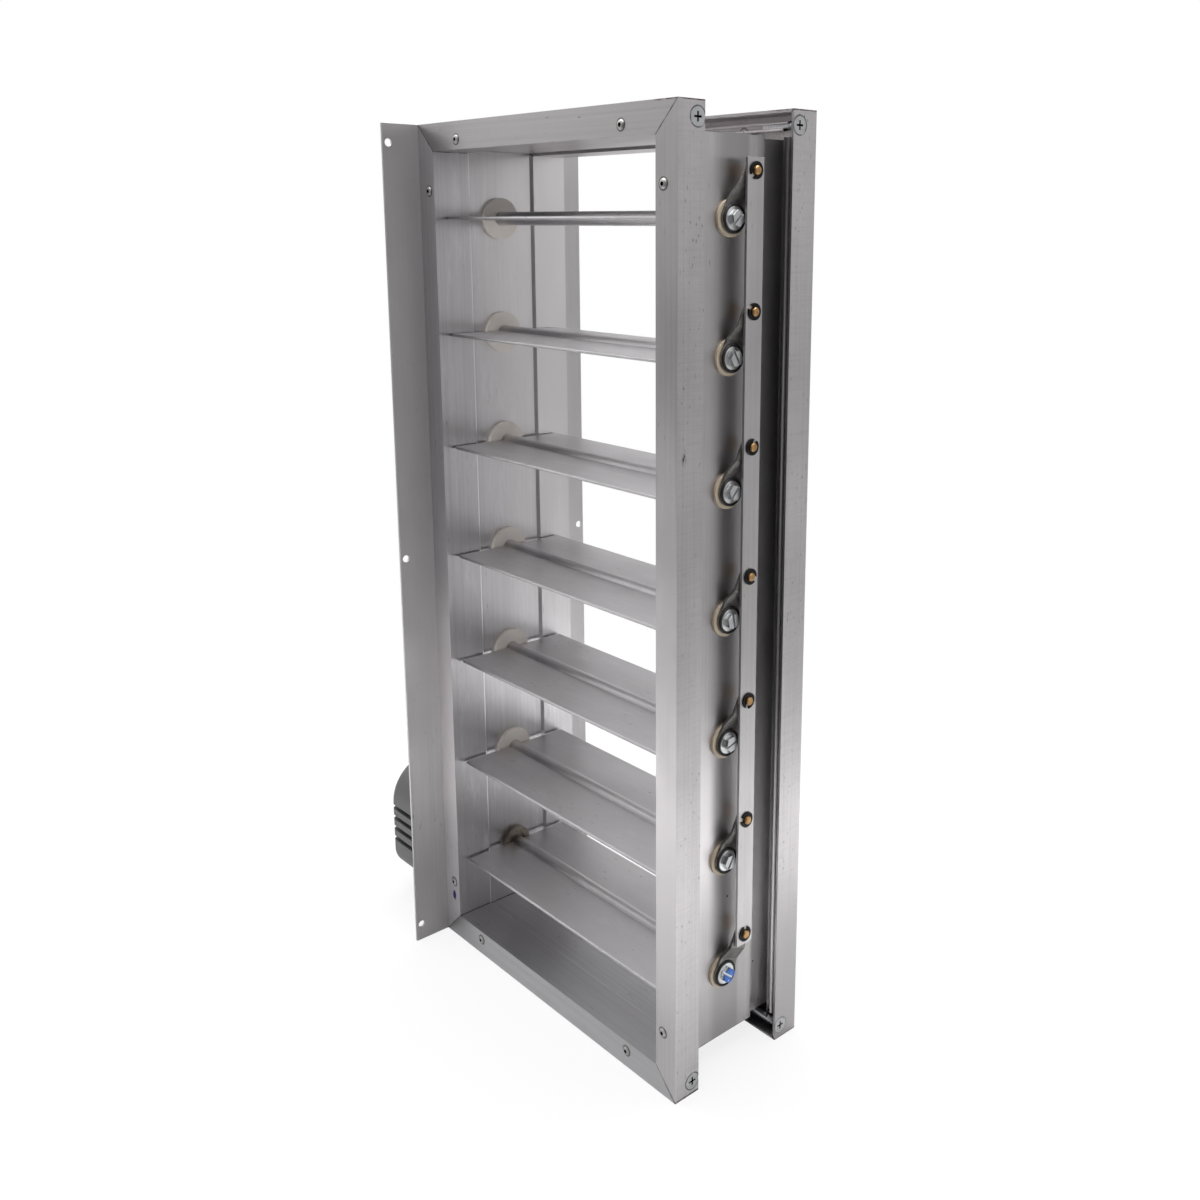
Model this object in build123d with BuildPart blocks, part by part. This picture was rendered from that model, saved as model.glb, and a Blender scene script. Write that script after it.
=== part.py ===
from build123d import *
import math
import os

# Rectangular slip-in zone damper, in millimetres.
# Origin: centre of the mounting plate, on the face that seats on the duct.
# +X runs along the blades into the duct, +Y with the air, +Z up.

# Frame extrusion
frame_width = 240.0
frame_height = 550.0
frame_depth = 100.0
flange_width = 16.5
lip_depth = 18.0
wall = 1.5
recess_width = 50.0
recess_depth = 1.8

# Screw boss of the extrusion, one in each flange
boss_face_distance = 13.1
boss_edge_distance = 8.25
boss_diameter = 5.2
boss_bore = 3.4
boss_slot = 2.6
boss_stem = 1.2
boss_relief = 14.0

# Flat-head screws through the side lips into the bosses
frame_screw_head = 9.5
frame_screw_angle = 82.0
frame_screw_shank = 3.3
frame_screw_length = 25.0
screw_hole_gap = 0.3
cross_length = 5.0
cross_width = 1.1
cross_depth = 1.4

# Pop rivets and the corner brackets behind the flanges
rivet_head = 5.8
rivet_head_height = 1.1
rivet_crown = 0.3
rivet_body = 3.0
rivet_tail = 4.6
rivet_tail_length = 1.8
mandrel_hole = 1.8
rivet_edge_distance = 10.6
rivet_from_rail_end = 43.0
rivet_from_jamb_end = 40.3
bracket_leg = 56.0
bracket_width = 7.3
bracket_thickness = 1.5
bracket_gap = 0.3

# Blades, sharing the clear height evenly and lapping when closed, on axes in front of mid-depth
blade_count = 7
blade_axis_forward = 1.8
blade_margin = 3.7
blade_overlap = 8.2
blade_thickness = 2.0
blade_end_gap = 2.0
tube_diameter = 8.5
tube_bore = 5.0
running_gap = 0.05

# Nylon bushings in the side webs
bushing_flange = 26.0
bushing_flange_thickness = 3.0
bushing_hub = 13.0
bushing_fit = 0.05
drive_flange = 21.0
drive_flange_thickness = 3.3
drive_recess = 13.0
drive_recess_depth = 1.2
washer_diameter = 19.6
washer_thickness = 1.8
tube_proud = 0.3

# Crank arms and their screws
crank_length = 26.3
crank_rest_angle = 68.3
crank_disc = 16.0
crank_tip = 10.5
crank_thickness = 1.5
crank_joggle = 4.1
joggle_start = 9.5
joggle_end = 17.5
screw_washer = 13.2
screw_washer_thickness = 0.9
screw_hex = 9.5
screw_hex_height = 3.0
screw_slot = 1.4
screw_slot_depth = 1.3
screw_shank = 4.9
screw_length = 18.0
slot_turn_step = 52.0

# Linkage bar, pivot pins and retaining clips
pin_diameter = 4.75
pin_head = 7.5
pin_head_thickness = 0.9
pin_beyond_bar = 2.1
pin_groove = 3.9
pin_chamfer = 0.5
bar_width = 12.2
bar_thickness = 1.6
bar_end = 6.7
bar_gap = 0.3
pin_gap = 0.06
clip_diameter = 9.2
clip_thickness = 0.7
clip_mouth = 2.6
clip_turn_step = 83.5
clip_gap = 0.1

# Mounting plate and its holes
plate_width = 150.0
plate_thickness = 1.5
plate_hole = 4.7
plate_hole_from_side = 4.0
plate_hole_from_end = 11.5
plate_shaft_hole = 14.0
plate_rivet_from_face = 5.0
plate_rivet_from_end = 14.0

# Actuator: moulded housing around the drive shaft, with vents along its front and rear
housing_width = 102.4
housing_above_shaft = 46.0
housing_below_shaft = 36.0
housing_top_radius = 31.0
housing_bottom_radius = 15.0
housing_wall = 3.5
housing_rounding = 4.5
base_depth = 24.0
base_floor = 10.0
cover_depth = 44.0
vent_count = 4
vent_spacing = 8.2
vent_width = 3.6
vent_depth = 5.0
vent_length = 36.0
hub_diameter = 20.0
hub_beyond_cover = 9.0
hub_gap = 0.5
shaft_beyond_hub = 4.0
shaft_spigot = 30.0
cable_inlet = 9.0
set_screw_diameter = 5.0
set_screw_length = 9.0
gear_case_diameter = 60.0
gear_case_depth = 8.0
motor_diameter = 26.0
motor_depth = 34.0
motor_offset = 24.5
post_diameter = 8.0
top_post_from_side = 17.0
top_post_from_top = 18.0
bottom_post_from_side = 13.0
bottom_post_from_bottom = 16.0
cover_screw_shank = 3.0
cover_screw_head = 6.0
cover_screw_head_height = 2.4
cover_screw_bite = 16.0
base_screw_y = 26.0
base_screw_z = 30.0
base_screw_shank = 4.0
base_screw_head = 7.5
base_screw_head_height = 2.5
base_screw_bite = 7.0
screw_gap = 0.05

# Places worked out from the sizes above
half_width = frame_width / 2
half_height = frame_height / 2
half_depth = frame_depth / 2
left_wall = flange_width
right_wall = frame_width - flange_width
left_floor = left_wall - recess_depth
right_floor = right_wall + recess_depth
left_web = left_floor - wall
right_web = right_floor + wall
wing_left = left_wall + blade_end_gap
wing_right = right_wall - blade_end_gap
blade_pitch = (frame_height - 2 * flange_width - 2 * blade_margin) / blade_count
blade_chord = blade_pitch + blade_overlap
axis_y = -blade_axis_forward
blade_heights = [blade_pitch * (i - (blade_count - 1) / 2) for i in range(blade_count)]
drive_height = blade_heights[0]

washer_face = right_web + washer_thickness
tube_right = washer_face + tube_proud
tube_left = left_web - tube_proud
crank_face = tube_right + crank_thickness
tip_back = tube_right + crank_joggle
tip_face = tip_back + crank_thickness
bar_back = tip_face + bar_gap
bar_face = bar_back + bar_thickness
clip_back = bar_face + clip_gap
clip_face = clip_back + clip_thickness
pin_end = bar_face + pin_beyond_bar
crank_angle = math.radians(crank_rest_angle)
crank_direction = (0, math.cos(crank_angle), math.sin(crank_angle))
crank_side = (0, math.sin(crank_angle), -math.cos(crank_angle))
pin_y = axis_y + crank_length * math.cos(crank_angle)
pin_rise = crank_length * math.sin(crank_angle)

boss_y = half_depth - boss_face_distance
boss_height = flange_width - boss_edge_distance
screw_z = half_height - boss_edge_distance
plate_back = -plate_thickness
plate_hole_spacing_y = plate_width - 2 * plate_hole_from_side
plate_hole_spacing_z = frame_height - 2 * plate_hole_from_end
plate_rivet_y = half_depth - plate_rivet_from_face
plate_rivet_z = half_height - plate_rivet_from_end
base_end = plate_back - base_depth
cover_end = base_end - cover_depth
floor_face = plate_back - base_floor
hub_end = cover_end - hub_beyond_cover
shaft_end = hub_end - shaft_beyond_hub
shaft_start = wing_left - blade_end_gap

os.makedirs("parts", exist_ok=True)


def save(piece, node):
    """Label a finished piece with its node's name and write its STEP file."""
    piece.label = node
    export_step(piece, f"parts/{node}.step")


def across(x, z=0.0, y=0.0):
    """Plane square to the blades at x: local x is +Y, local y is +Z."""
    return Plane(origin=(x, y, z), x_dir=(0, 1, 0), z_dir=(1, 0, 0))


def about_axis(x, z=0.0):
    """Plane square to the blades at x, centred on the line of the blades' axes."""
    return across(x, z, axis_y)


# Frame members

def frame_member(middle, length, rivets):
    """Mitred length of the frame extrusion; local x is depth, local y points out of the duct."""
    bend = wall * math.tan(math.radians(22.5))
    rim = recess_width / 2
    with BuildPart() as member:
        with BuildSketch(middle):
            with BuildLine():
                Polyline(
                    (0, recess_depth),
                    (rim - recess_depth, recess_depth),
                    (rim, 0),
                    (half_depth, 0),
                    (half_depth, flange_width),
                    (half_depth - lip_depth, flange_width),
                    (half_depth - lip_depth, flange_width - wall),
                    (half_depth - wall, flange_width - wall),
                    (half_depth - wall, wall),
                    (rim + bend, wall),
                    (rim + bend - recess_depth, recess_depth + wall),
                    (0, recess_depth + wall),
                )
                mirror(about=Plane.YZ)
            make_face()
            stem_length = boss_face_distance - wall
            stem_height = boss_height + boss_diameter / 2 - boss_stem / 2
            for side in (-1, 1):
                with Locations((side * boss_y, boss_height)):
                    Circle(boss_diameter / 2)
                with Locations((side * (boss_y + stem_length / 2), stem_height)):
                    Rectangle(stem_length, boss_stem)
                with Locations((side * boss_y, boss_height)):
                    Circle(boss_bore / 2, mode=Mode.SUBTRACT)
                with Locations((side * (boss_y - boss_diameter / 2), boss_height)):
                    Rectangle(boss_diameter, boss_slot, mode=Mode.SUBTRACT)
        extrude(amount=length / 2, both=True)
        for end in (-1, 1):
            corner = middle.origin + middle.z_dir * (end * length / 2) + middle.y_dir * flange_width
            split(bisect_by=Plane(corner, z_dir=middle.z_dir * end - middle.y_dir), keep=Keep.BOTTOM)
        for side in (-1, 1):
            with BuildSketch(Plane.XZ.offset(side * half_depth)):
                with Locations(*rivets):
                    Circle(rivet_body / 2 + bushing_fit)
            extrude(amount=-side * wall, mode=Mode.SUBTRACT)
    return member.part


rivet_rail_x = half_width - rivet_from_rail_end
rivet_rail_z = half_height - rivet_edge_distance
rivet_jamb_x = half_width - rivet_edge_distance
rivet_jamb_z = half_height - rivet_from_jamb_end
rail_rivets = [(half_width + i * rivet_rail_x, j * rivet_rail_z) for i in (-1, 1) for j in (-1, 1)]
jamb_rivets = [(half_width + i * rivet_jamb_x, j * rivet_jamb_z) for i in (-1, 1) for j in (-1, 1)]

rails = {
    "frame_top": Plane(
        origin=(half_width, 0, half_height - flange_width), x_dir=(0, 1, 0), z_dir=(1, 0, 0)
    ),
    "frame_bottom": Plane(
        origin=(half_width, 0, flange_width - half_height), x_dir=(0, 1, 0), z_dir=(-1, 0, 0)
    ),
}
for node, middle in rails.items():
    save(frame_member(middle, frame_width, rail_rivets), node)

jambs = {
    "frame_left": (Plane(origin=(left_wall, 0, 0), x_dir=(0, 1, 0), z_dir=(0, 0, 1)), 0.0, -1),
    "frame_right": (Plane(origin=(right_wall, 0, 0), x_dir=(0, 1, 0), z_dir=(0, 0, -1)), frame_width, 1),
}
for node, (middle, outer_x, outward) in jambs.items():
    with BuildPart() as jamb:
        add(frame_member(middle, frame_height, jamb_rivets))
        # Bosses are cut back at both ends, so that the frame screws reach the rails' bosses.
        channel = flange_width - recess_depth - 2 * wall
        relief_x = outer_x - outward * (wall + channel / 2)
        relief_y = half_depth - wall - (lip_depth - wall) / 2
        for i in (-1, 1):
            for j in (-1, 1):
                with Locations((relief_x, i * relief_y, j * (half_height - boss_relief / 2))):
                    Box(channel, lip_depth - wall, boss_relief, mode=Mode.SUBTRACT)
        lip_places = [
            Plane(origin=(outer_x, i * boss_y, j * screw_z), z_dir=(outward, 0, 0))
            for i in (-1, 1)
            for j in (-1, 1)
        ]
        with Locations(*lip_places):
            CounterSinkHole(
                frame_screw_shank / 2 + screw_hole_gap,
                frame_screw_head / 2 + screw_hole_gap,
                depth=boss_relief / 2,
                counter_sink_angle=frame_screw_angle,
            )
        with BuildSketch(about_axis(middle.origin.X)):
            with Locations(*[(0, z) for z in blade_heights]):
                Circle(bushing_hub / 2 + bushing_fit)
        extrude(amount=outward * (recess_depth + wall), mode=Mode.SUBTRACT)
        if outward < 0:
            with BuildSketch(across(outer_x)):
                with GridLocations(2 * plate_rivet_y, plate_rivet_z, 2, 3):
                    Circle(rivet_body / 2 + bushing_fit)
            extrude(amount=wall, mode=Mode.SUBTRACT)
    save(jamb.part, node)

# Corner brackets behind the flanges, riveted to both members at each corner
bracket_out = flange_width - wall - bracket_gap - bracket_width
bracket_in = bracket_out + bracket_width
with BuildPart() as corner_brackets:
    for side in (-1, 1):
        with BuildSketch(Plane.XZ.offset(side * (half_depth - wall))):
            for i in (-1, 1):
                for j in (-1, 1):
                    outline = [
                        (bracket_out, bracket_out),
                        (bracket_leg, bracket_out),
                        (bracket_leg, bracket_in),
                        (bracket_in, bracket_in),
                        (bracket_in, bracket_leg),
                        (bracket_out, bracket_leg),
                    ]
                    with BuildLine():
                        Polyline(
                            *[(half_width + i * (half_width - p), j * (half_height - q)) for p, q in outline],
                            close=True,
                        )
                    make_face()
            with Locations(*rail_rivets, *jamb_rivets):
                Circle(rivet_body / 2 + bushing_fit, mode=Mode.SUBTRACT)
        extrude(amount=-side * bracket_thickness)
save(corner_brackets.part, "corner_brackets")

# Frame fasteners
head_depth = (frame_screw_head - frame_screw_shank) / 2 / math.tan(math.radians(frame_screw_angle / 2))
with BuildPart() as frame_screw:
    with BuildSketch(Plane.XZ):
        with BuildLine():
            Polyline(
                (0, 0),
                (frame_screw_head / 2, 0),
                (frame_screw_shank / 2, -head_depth),
                (frame_screw_shank / 2, -frame_screw_length),
                (0, -frame_screw_length),
                close=True,
            )
        make_face()
    revolve(axis=Axis.Z)
    with BuildSketch():
        Rectangle(cross_length, cross_width)
        Rectangle(cross_width, cross_length)
    extrude(amount=-cross_depth, mode=Mode.SUBTRACT)

with BuildPart() as frame_screws:
    screw_places = [
        Plane(origin=(x, i * boss_y, j * screw_z), z_dir=(outward, 0, 0))
        for x, outward in ((0.0, -1), (frame_width, 1))
        for i in (-1, 1)
        for j in (-1, 1)
    ]
    with Locations(*screw_places):
        add(frame_screw.part)
save(frame_screws.part, "frame_screws")


def pop_rivet(grip):
    """Set blind rivet: domed head above local z = 0, body through the grip, upset tail below."""
    with BuildPart() as rivet:
        with BuildSketch(Plane.XZ):
            with BuildLine():
                Line((mandrel_hole / 2, rivet_head_height), (mandrel_hole / 2, -grip - rivet_tail_length))
                Polyline(
                    (mandrel_hole / 2, -grip - rivet_tail_length),
                    (rivet_tail / 2, -grip - rivet_tail_length),
                    (rivet_tail / 2, -grip),
                    (rivet_body / 2, -grip),
                    (rivet_body / 2, 0),
                    (rivet_head / 2, 0),
                )
                SagittaArc((rivet_head / 2, 0), (mandrel_hole / 2, rivet_head_height), -rivet_crown)
            make_face()
        revolve(axis=Axis.Z)
        # Broken-off mandrel left inside the body
        with BuildSketch(Plane.XY.offset(-grip - rivet_tail_length)):
            Circle(mandrel_hole / 2)
        extrude(amount=grip + rivet_tail_length)
    return rivet.part


flange_rivet = pop_rivet(wall + bracket_thickness)
with BuildPart() as flange_rivets:
    rivet_places = [
        Plane(origin=(x, side * half_depth, z), z_dir=(0, side, 0))
        for side in (-1, 1)
        for x, z in rail_rivets + jamb_rivets
    ]
    with Locations(*rivet_places):
        add(flange_rivet)
save(flange_rivets.part, "flange_rivets")

# Mounting plate, riveted on the left side lips
with BuildPart() as mounting_plate:
    with BuildSketch(across(plate_back)):
        Rectangle(plate_width, frame_height)
        with GridLocations(plate_hole_spacing_y, plate_hole_spacing_z / 2, 2, 3):
            Circle(plate_hole / 2, mode=Mode.SUBTRACT)
        with GridLocations(2 * plate_rivet_y, plate_rivet_z, 2, 3):
            Circle(rivet_body / 2 + bushing_fit, mode=Mode.SUBTRACT)
        with Locations((axis_y, drive_height)):
            Circle(plate_shaft_hole / 2, mode=Mode.SUBTRACT)
            with GridLocations(2 * base_screw_y, 2 * base_screw_z, 2, 2):
                Circle(base_screw_shank / 2 + screw_gap, mode=Mode.SUBTRACT)
    extrude(amount=plate_thickness)
save(mounting_plate.part, "mounting_plate")

plate_rivet = pop_rivet(plate_thickness + wall)
with BuildPart() as plate_rivets:
    plate_rivet_places = [
        Plane(origin=(plate_back, i * plate_rivet_y, j * plate_rivet_z), z_dir=(-1, 0, 0))
        for i in (-1, 1)
        for j in (-1, 0, 1)
    ]
    with Locations(*plate_rivet_places):
        add(plate_rivet)
save(plate_rivets.part, "plate_rivets")

# Bushings and outer washers
bearing_bore = tube_diameter / 2 + running_gap


def web_bushing(floor, outward, height, flange, thickness):
    """Flanged bushing seated on the recess floor of a side web, its hub flush with the web outside."""
    with BuildPart() as bushing:
        with BuildSketch(about_axis(floor, height)):
            Circle(flange / 2)
        extrude(amount=-outward * thickness)
        with BuildSketch(about_axis(floor, height)):
            Circle(bushing_hub / 2)
        extrude(amount=outward * wall)
        with BuildSketch(about_axis(floor - outward * thickness, height)):
            Circle(bearing_bore)
        extrude(amount=outward * (thickness + wall), mode=Mode.SUBTRACT)
    return bushing.part


bushing_sizes = (bushing_flange, bushing_flange_thickness)
with BuildPart() as bushings_left:
    for height in blade_heights[1:]:
        add(web_bushing(left_floor, -1, height, *bushing_sizes))
save(bushings_left.part, "bushings_left")

with BuildPart() as bushings_right:
    for height in blade_heights:
        add(web_bushing(right_floor, 1, height, *bushing_sizes))
save(bushings_right.part, "bushings_right")

with BuildPart() as drive_bushing:
    add(web_bushing(left_floor, -1, drive_height, drive_flange, drive_flange_thickness))
    with BuildSketch(about_axis(left_floor + drive_flange_thickness, drive_height)):
        Circle(drive_recess / 2)
    extrude(amount=-drive_recess_depth, mode=Mode.SUBTRACT)
save(drive_bushing.part, "drive_bushing")

with BuildPart() as outer_washers:
    with BuildSketch(about_axis(right_web)):
        with Locations(*[(0, z) for z in blade_heights]):
            Circle(washer_diameter / 2)
            Circle(bearing_bore, mode=Mode.SUBTRACT)
    extrude(amount=washer_thickness)
save(outer_washers.part, "outer_washers")

# Blades with their crank arms, screws, pins and clips


def make_blade(height, tube_end):
    """Extruded blade: flat wings on a central tube that runs out through the bushings."""
    with BuildPart() as blade:
        with BuildSketch(about_axis(wing_left, height)):
            SlotOverall(blade_chord, blade_thickness)
        extrude(amount=wing_right - wing_left)
        with BuildSketch(about_axis(tube_end, height)):
            Circle(tube_diameter / 2)
        extrude(amount=tube_right - tube_end)
        with BuildSketch(about_axis(tube_end, height)):
            Circle(tube_bore / 2)
        extrude(amount=tube_right - tube_end, mode=Mode.SUBTRACT)
    return blade.part


def make_crank(height):
    """Sheet crank: disc on the tube's end, joggled outward to its pin."""
    side_plane = Plane(origin=(0, axis_y, height), x_dir=crank_direction, z_dir=crank_side)
    plan_plane = Plane(origin=(tube_right, axis_y, height), x_dir=crank_direction, z_dir=(1, 0, 0))
    back, tip = -crank_disc / 2, crank_length + crank_tip / 2
    with BuildPart() as crank:
        with BuildSketch(side_plane):
            with BuildLine():
                Polyline(
                    (back, tube_right),
                    (joggle_start, tube_right),
                    (joggle_end, tip_back),
                    (tip, tip_back),
                    (tip, tip_face),
                    (joggle_end - crank_thickness / 2, tip_face),
                    (joggle_start - crank_thickness / 2, crank_face),
                    (back, crank_face),
                    close=True,
                )
            make_face()
        extrude(amount=crank_disc / 2, both=True)
        with BuildSketch(plan_plane):
            Circle(crank_disc / 2)
            with Locations((crank_length, 0)):
                Circle(crank_tip / 2)
            make_hull()
            Circle(screw_shank / 2 + screw_gap, mode=Mode.SUBTRACT)
            with Locations((crank_length, 0)):
                Circle(pin_diameter / 2 + screw_gap, mode=Mode.SUBTRACT)
        extrude(amount=tip_face - tube_right, mode=Mode.INTERSECT)
    return crank.part


def make_crank_screw(height, slot_turn):
    """Slotted hex screw with a washer face, driven into the blade's tube."""
    head_base = crank_face + screw_washer_thickness
    head_top = head_base + screw_hex_height
    with BuildPart() as screw:
        with BuildSketch(about_axis(crank_face, height)):
            Circle(screw_washer / 2)
        extrude(amount=screw_washer_thickness)
        with BuildSketch(about_axis(head_base, height)):
            RegularPolygon(screw_hex / 2, 6, major_radius=False, rotation=slot_turn)
        extrude(amount=screw_hex_height)
        with BuildSketch(about_axis(head_top, height)):
            Rectangle(screw_washer, screw_slot, rotation=slot_turn)
        extrude(amount=-screw_slot_depth, mode=Mode.SUBTRACT)
        with BuildSketch(about_axis(crank_face, height)):
            Circle(screw_shank / 2)
        extrude(amount=-screw_length)
    return screw.part


def make_pin(height):
    """Brass pivot pin: head behind the crank's tip, groove for the clip, chamfered end."""
    pin_z = height + pin_rise
    with BuildPart() as pin:
        with BuildSketch(Plane(origin=(0, pin_y, pin_z), x_dir=(1, 0, 0), z_dir=(0, -1, 0))):
            with BuildLine():
                Polyline(
                    (tip_back - pin_head_thickness, 0),
                    (tip_back - pin_head_thickness, pin_head / 2),
                    (tip_back, pin_head / 2),
                    (tip_back, pin_diameter / 2),
                    (clip_back, pin_diameter / 2),
                    (clip_back, pin_groove / 2),
                    (clip_face, pin_groove / 2),
                    (clip_face, pin_diameter / 2),
                    (pin_end - pin_chamfer, pin_diameter / 2),
                    (pin_end, pin_diameter / 2 - pin_chamfer),
                    (pin_end, 0),
                    close=True,
                )
            make_face()
        revolve(axis=Axis((0, pin_y, pin_z), (1, 0, 0)))
    return pin.part


def make_clip(height, mouth_turn):
    """Open retaining clip in the pin's groove, its mouth turned any way."""
    with BuildPart() as clip:
        with BuildSketch(across(clip_back, height + pin_rise, pin_y)):
            Circle(clip_diameter / 2)
            Circle(pin_groove / 2, mode=Mode.SUBTRACT)
            with PolarLocations(clip_diameter / 2, 1, start_angle=mouth_turn):
                Rectangle(clip_diameter, clip_mouth, mode=Mode.SUBTRACT)
        extrude(amount=clip_thickness)
    return clip.part


for number, height in enumerate(blade_heights, start=1):
    tube_end = shaft_start if number == 1 else tube_left
    save(make_blade(height, tube_end), f"blade_{number}")
    save(make_crank(height), f"crank_arm_{number}")
    save(make_crank_screw(height, number * slot_turn_step), f"crank_screw_{number}")
    save(make_pin(height), f"pivot_pin_{number}")
    save(make_clip(height, number * clip_turn_step), f"pin_clip_{number}")

# Linkage bar on all the pins
bar_length = blade_pitch * (blade_count - 1) + 2 * bar_end
with BuildPart() as linkage_bar:
    with BuildSketch(across(bar_back, pin_rise, pin_y)):
        Rectangle(bar_width, bar_length)
        with Locations(*[(0, z) for z in blade_heights]):
            Circle(pin_diameter / 2 + pin_gap, mode=Mode.SUBTRACT)
    extrude(amount=bar_thickness)
save(linkage_bar.part, "linkage_bar")

# Drive shaft from the bottom blade to the actuator
with BuildPart() as drive_shaft:
    with BuildSketch(about_axis(shaft_end, drive_height)):
        Circle(tube_diameter / 2)
    extrude(amount=shaft_start - shaft_end)
    with BuildSketch(about_axis(shaft_start, drive_height)):
        Circle(tube_bore / 2 - screw_gap)
    extrude(amount=shaft_spigot)
save(drive_shaft.part, "drive_shaft")

# Actuator housing, split across its depth


def housing_outline(inset):
    """Outline of the housing seen along the shaft, moved inward by an inset."""
    with BuildSketch() as outline:
        with Locations((0, (housing_above_shaft - housing_below_shaft) / 2)):
            Rectangle(housing_width - 2 * inset, housing_above_shaft + housing_below_shaft - 2 * inset)
        fillet(outline.vertices().group_by(Axis.Y)[-1], housing_top_radius - inset)
        fillet(outline.vertices().group_by(Axis.Y)[0], housing_bottom_radius - inset)
    return outline.sketch


housing_outside = housing_outline(0)
housing_inside = housing_outline(housing_wall)
half_housing = housing_width / 2
top_post = (half_housing - top_post_from_side, housing_above_shaft - top_post_from_top)
bottom_post = (half_housing - bottom_post_from_side, bottom_post_from_bottom - housing_below_shaft)
posts = [(side * y, z) for side in (-1, 1) for y, z in (top_post, bottom_post)]

with BuildPart() as actuator_base:
    with BuildSketch(about_axis(plate_back, drive_height)):
        add(housing_outside)
    extrude(amount=-base_depth)
    with BuildSketch(about_axis(floor_face, drive_height)):
        add(housing_inside)
        with Locations(*posts):
            Circle(post_diameter / 2, mode=Mode.SUBTRACT)
    extrude(amount=base_end - floor_face, mode=Mode.SUBTRACT)
    with BuildSketch(about_axis(plate_back, drive_height)):
        Circle(plate_shaft_hole / 2)
    extrude(amount=-base_floor, mode=Mode.SUBTRACT)
    with BuildSketch(about_axis(plate_back, drive_height)):
        with GridLocations(2 * base_screw_y, 2 * base_screw_z, 2, 2):
            Circle(base_screw_shank / 2 + screw_gap)
    extrude(amount=-base_screw_bite, mode=Mode.SUBTRACT)
    with BuildSketch(about_axis(base_end, drive_height)):
        with Locations(*posts):
            Circle(cover_screw_shank / 2 + screw_gap)
    extrude(amount=cover_screw_bite, mode=Mode.SUBTRACT)
    # Cable inlet through the top of the base
    inlet_x = (floor_face + base_end) / 2
    with BuildSketch(Plane.XY.offset(drive_height + housing_above_shaft)):
        with Locations((inlet_x, axis_y)):
            Circle(cable_inlet / 2)
    extrude(amount=-2 * housing_wall, mode=Mode.SUBTRACT)
save(actuator_base.part, "actuator_base")

with BuildPart() as actuator_cover:
    with BuildSketch(about_axis(base_end, drive_height)):
        add(housing_outside)
    extrude(amount=-cover_depth)
    fillet(actuator_cover.faces().sort_by(Axis.X)[0].edges(), housing_rounding)
    with BuildSketch(about_axis(base_end, drive_height)):
        add(housing_inside)
        with Locations(*posts):
            Circle(post_diameter / 2, mode=Mode.SUBTRACT)
    extrude(amount=housing_wall - cover_depth, mode=Mode.SUBTRACT)
    with BuildSketch(about_axis(cover_end, drive_height)):
        Circle(hub_diameter / 2 + hub_gap)
    extrude(amount=housing_wall, mode=Mode.SUBTRACT)
    with BuildSketch(about_axis(cover_end, drive_height)):
        with Locations(*posts):
            Circle(cover_screw_shank / 2 + screw_gap)
    extrude(amount=cover_depth, mode=Mode.SUBTRACT)
    with BuildSketch(about_axis(cover_end, drive_height)):
        with Locations(*posts):
            Circle(cover_screw_head / 2 + screw_gap)
    extrude(amount=cover_screw_head_height, mode=Mode.SUBTRACT)
    # Vents along the front and rear walls, open at the rounded rim
    with BuildSketch(about_axis(cover_end, drive_height)):
        with GridLocations(housing_width, vent_spacing, 2, vent_count):
            Rectangle(2 * vent_depth, vent_width)
    extrude(amount=vent_length, mode=Mode.SUBTRACT)
save(actuator_cover.part, "actuator_cover")

with BuildPart() as cover_screws:
    with BuildSketch(about_axis(cover_end, drive_height)):
        with Locations(*posts):
            Circle(cover_screw_head / 2)
    extrude(amount=cover_screw_head_height)
    with BuildSketch(about_axis(cover_end, drive_height)):
        with Locations(*posts):
            Circle(cover_screw_shank / 2)
    extrude(amount=cover_depth + cover_screw_bite)
save(cover_screws.part, "cover_screws")

with BuildPart() as base_screws:
    with BuildSketch(about_axis(0, drive_height)):
        with GridLocations(2 * base_screw_y, 2 * base_screw_z, 2, 2):
            Circle(base_screw_head / 2)
    extrude(amount=base_screw_head_height)
    with BuildSketch(about_axis(0, drive_height)):
        with GridLocations(2 * base_screw_y, 2 * base_screw_z, 2, 2):
            Circle(base_screw_shank / 2)
    extrude(amount=-plate_thickness - base_screw_bite)
save(base_screws.part, "base_screws")

# Output hub clamped on the drive shaft, and the sealed gear motor around it
with BuildPart() as output_hub:
    with BuildSketch(about_axis(hub_end, drive_height)):
        Circle(hub_diameter / 2)
        Circle(tube_diameter / 2, mode=Mode.SUBTRACT)
    extrude(amount=floor_face - hub_gap - hub_end)
    set_screw_x = (hub_end + cover_end) / 2
    with BuildSketch(Plane.XY.offset(drive_height)):
        with Locations((set_screw_x, axis_y)):
            Circle(set_screw_diameter / 2)
    extrude(amount=hub_diameter, mode=Mode.SUBTRACT)
save(output_hub.part, "output_hub")

with BuildPart() as hub_set_screw:
    with BuildSketch(Plane.XY.offset(drive_height + tube_diameter / 2)):
        with Locations((set_screw_x, axis_y)):
            Circle(set_screw_diameter / 2)
    extrude(amount=set_screw_length)
save(hub_set_screw.part, "hub_set_screw")

with BuildPart() as gear_motor:
    with BuildSketch(about_axis(floor_face, drive_height)):
        Circle(gear_case_diameter / 2)
        Circle(hub_diameter / 2 + hub_gap, mode=Mode.SUBTRACT)
    extrude(amount=-gear_case_depth)
    with BuildSketch(about_axis(floor_face - gear_case_depth, drive_height)):
        with Locations((0, motor_offset)):
            Circle(motor_diameter / 2)
    extrude(amount=-motor_depth)
save(gear_motor.part, "gear_motor")
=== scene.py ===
import math

import bmesh
import bpy
from mathutils import Matrix, Vector


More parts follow.
